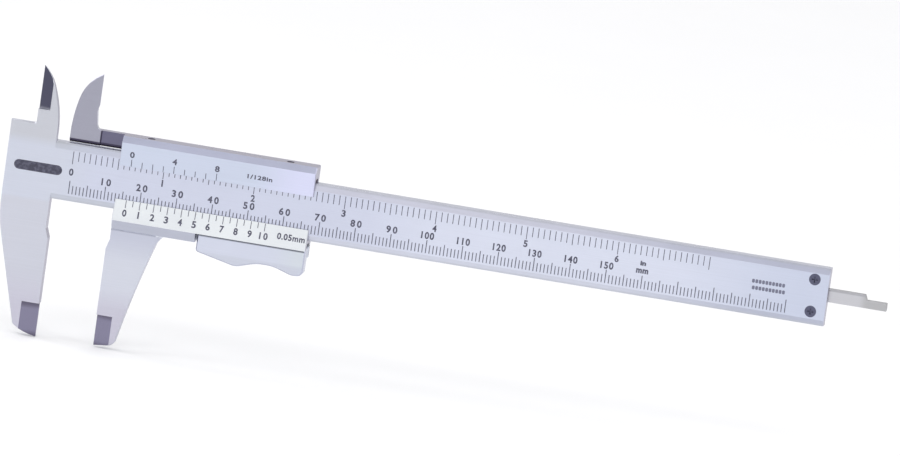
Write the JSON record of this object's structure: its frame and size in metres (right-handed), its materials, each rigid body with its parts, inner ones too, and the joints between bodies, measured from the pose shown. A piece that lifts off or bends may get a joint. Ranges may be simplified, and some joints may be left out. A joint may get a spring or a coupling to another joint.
{
  "type": "vernier caliper",
  "caption": "Vernier caliper with outside and inside jaws, a slider with upper and lower verniers, a spring-loaded thumb clamp and a depth rod.",
  "frame": {"origin": "middle of the fixed outside jaw's measuring face, at half the beam's thickness", "axes": "+X along the beam towards the depth rod's tip, +Z from the outside jaws to the inside jaws, -Y out of the graduated face"},
  "size_m": [0.2457, 0.0071, 0.0748],
  "materials": {
    "satin_steel": "satin chrome on hardened stainless steel",
    "ground_steel": "bright ground stainless steel",
    "dark_steel": "plain steel screw",
    "black_oxide": "black oxide",
    "spring_steel": "drawn wire",
    "phosphor_bronze": "rolled phosphor bronze",
    "brass": "machined brass",
    "scale_ink": "black ink in engraved lines"
  },
  "bodies": {
    "beam": {"main_beam": "satin_steel", "end_stop_plate": "satin_steel", "end_screw_upper": "black_oxide", "end_screw_lower": "black_oxide"},
    "slider": {"slider_body": "satin_steel", "gib_strip": "phosphor_bronze", "gib_screw_left": "dark_steel", "gib_screw_right": "dark_steel", "depth_rod": "ground_steel", "rod_screw_left": "dark_steel", "rod_screw_right": "dark_steel", "lever_pivot_pin": "ground_steel", "lever_spring": "spring_steel"},
    "clamp_lever": {"thumb_lever": "satin_steel"},
    "clamp_shoe": {"brake_shoe": "brass"}
  },
  "joints": [
    {"name": "slider_travel", "type": "slide", "parent": "beam", "child": "slider", "axis": [1, 0, 0], "range_m": [-0.0163, 0.1337]},
    {"name": "lever_press", "type": "hinge", "parent": "slider", "child": "clamp_lever", "pos_m": [0.047, 0, 0.0234], "axis": [0, -1, 0], "range_deg": [0, 2.5], "stiffness_Nm_per_rad": 0.05, "springref_deg": -17.19, "deforming": ["lever_spring"]},
    {"name": "shoe_release", "type": "slide", "parent": "slider", "child": "clamp_shoe", "axis": [0, 0, -1], "range_m": [0, 0.0002]}
  ],
  "couplings": [
    {"joint": "shoe_release", "follows": "lever_press", "m_per_rad": 0.0035}
  ]
}
